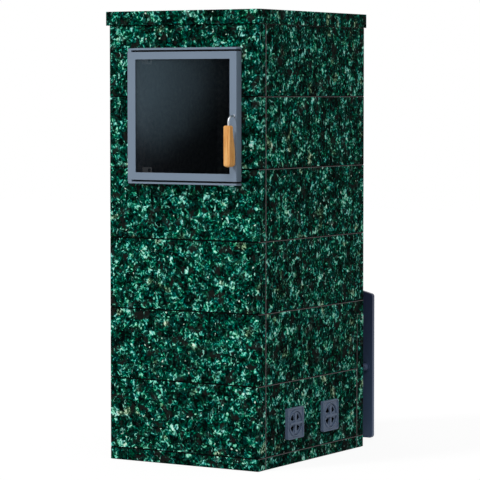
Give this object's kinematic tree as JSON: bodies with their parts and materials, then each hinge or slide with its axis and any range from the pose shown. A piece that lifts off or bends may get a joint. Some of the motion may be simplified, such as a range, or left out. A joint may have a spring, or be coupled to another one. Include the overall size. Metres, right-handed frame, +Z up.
{
  "type": "sauna stove",
  "caption": "Stone-clad wood-burning sauna stove with a glazed steam door, low rotary air vents, and a fuel door, ash drawer and portal plate at the end of a rear channel.",
  "frame": {"origin": "on the floor under the middle of the stone body's footprint", "axes": "+Z up; -Y out of the steam door's side; +Y out of the fuel side; +X to the right of someone who faces the steam door"},
  "size_m": [0.529, 0.888, 1.306],
  "materials": {
    "cladding_stone": "polished dark green serpentine",
    "body_steel": "black heat-resistant paint",
    "chamber_steel": "heat-tinted steel",
    "firebrick": "matt chamotte",
    "grate_iron": "raw casting",
    "heater_rock": "split olivine",
    "zinc_steel": "zinc plated",
    "powder_coat": "grey-blue heat-resistant powder coat",
    "dark_glass": "dark ceramic glass",
    "fibre_rope": "black glass fibre",
    "bright_steel": "polished",
    "grip_wood": "oiled beech",
    "vent_paint": "grey-blue paint on cast iron",
    "portal_paint": "dark blue-grey heat-resistant paint",
    "door_iron": "black heat-resistant paint"
  },
  "bodies": {
    "root": {"cap_slab": "cladding_stone", "plinth_strips": "cladding_stone", "front_slab_1": "cladding_stone", "front_slab_2": "cladding_stone", "front_slab_3": "cladding_stone", "front_slab_4": "cladding_stone", "front_jamb_left": "cladding_stone", "front_jamb_right": "cladding_stone", "front_jamb_top": "cladding_stone", "front_lintel": "cladding_stone", "rear_jamb_left": "cladding_stone", "rear_jamb_right": "cladding_stone", "rear_lintel": "cladding_stone", "rear_slabs": "cladding_stone", "right_slab_1": "cladding_stone", "right_slab_2": "cladding_stone", "right_slab_3": "cladding_stone", "right_slab_4": "cladding_stone", "right_slab_5": "cladding_stone", "right_slab_6": "cladding_stone", "left_slab_1": "cladding_stone", "left_slab_2": "cladding_stone", "left_slab_3": "cladding_stone", "left_slab_4": "cladding_stone", "left_slab_5": "cladding_stone", "left_slab_6": "cladding_stone", "stove_body": "body_steel", "stone_chamber": "chamber_steel", "flue_socket": "body_steel", "fuel_channel": "body_steel", "firebricks": "firebrick", "fire_grate": "grate_iron", "heater_stones": "heater_rock", "levelling_feet": "zinc_steel", "corner_angles": "zinc_steel", "steam_frame": "powder_coat", "portal_plate": "portal_paint", "portal_bolts": "portal_paint", "vent_frame_right_front": "vent_paint", "vent_frame_right_rear": "vent_paint", "vent_frame_left_front": "vent_paint", "vent_frame_left_rear": "vent_paint"},
    "steam_door": {"steam_door": "powder_coat", "steam_glass": "dark_glass", "glass_retainer": "powder_coat", "retainer_screws": "zinc_steel", "steam_gasket": "fibre_rope"},
    "steam_handle": {"steam_handle_rod": "bright_steel", "steam_grip": "grip_wood"},
    "fuel_door": {"fuel_door": "door_iron", "fuel_glass": "dark_glass", "fuel_gasket": "fibre_rope"},
    "fuel_handle": {"fuel_handle_rod": "bright_steel", "fuel_grip": "grip_wood"},
    "ash_drawer": {"ash_drawer": "door_iron"},
    "air_slide": {"air_slide": "zinc_steel"},
    "damper_right_front": {"vent_damper_right_front": "vent_paint"},
    "damper_right_rear": {"vent_damper_right_rear": "vent_paint"},
    "damper_left_front": {"vent_damper_left_front": "vent_paint"},
    "damper_left_rear": {"vent_damper_left_rear": "vent_paint"}
  },
  "joints": [
    {"name": "steam_door_swing", "type": "hinge", "parent": "root", "child": "steam_door", "pos_m": [-0.16, -0.322, 1], "axis": [0, 0, -1], "range_deg": [0, 110]},
    {"name": "steam_handle_turn", "type": "hinge", "parent": "steam_door", "child": "steam_handle", "pos_m": [0.19, -0.335, 1.0015], "axis": [0, -1, 0], "range_deg": [0, 90]},
    {"name": "fuel_door_swing", "type": "hinge", "parent": "root", "child": "fuel_door", "pos_m": [0.137, 0.47, 0.2675], "axis": [0, 0, -1], "range_deg": [0, 110]},
    {"name": "fuel_handle_turn", "type": "hinge", "parent": "fuel_door", "child": "fuel_handle", "pos_m": [-0.098, 0.475, 0.2975], "axis": [0, 1, 0], "range_deg": [0, 90]},
    {"name": "ash_drawer_pull", "type": "slide", "parent": "root", "child": "ash_drawer", "axis": [0, 1, 0], "range_m": [0, 0.45]},
    {"name": "air_slide_shift", "type": "slide", "parent": "ash_drawer", "child": "air_slide", "axis": [1, 0, 0], "range_m": [0, 0.028]},
    {"name": "damper_turn_right_front", "type": "hinge", "parent": "root", "child": "damper_right_front", "pos_m": [0.258, -0.113, 0.1185], "axis": [1, 0, 0], "range_deg": [0, 45]},
    {"name": "damper_turn_right_rear", "type": "hinge", "parent": "root", "child": "damper_right_rear", "pos_m": [0.258, 0.09, 0.1185], "axis": [1, 0, 0], "range_deg": [0, 45]},
    {"name": "damper_turn_left_front", "type": "hinge", "parent": "root", "child": "damper_left_front", "pos_m": [-0.258, -0.113, 0.1185], "axis": [-1, 0, 0], "range_deg": [0, 45]},
    {"name": "damper_turn_left_rear", "type": "hinge", "parent": "root", "child": "damper_left_rear", "pos_m": [-0.258, 0.09, 0.1185], "axis": [-1, 0, 0], "range_deg": [0, 45]}
  ]
}
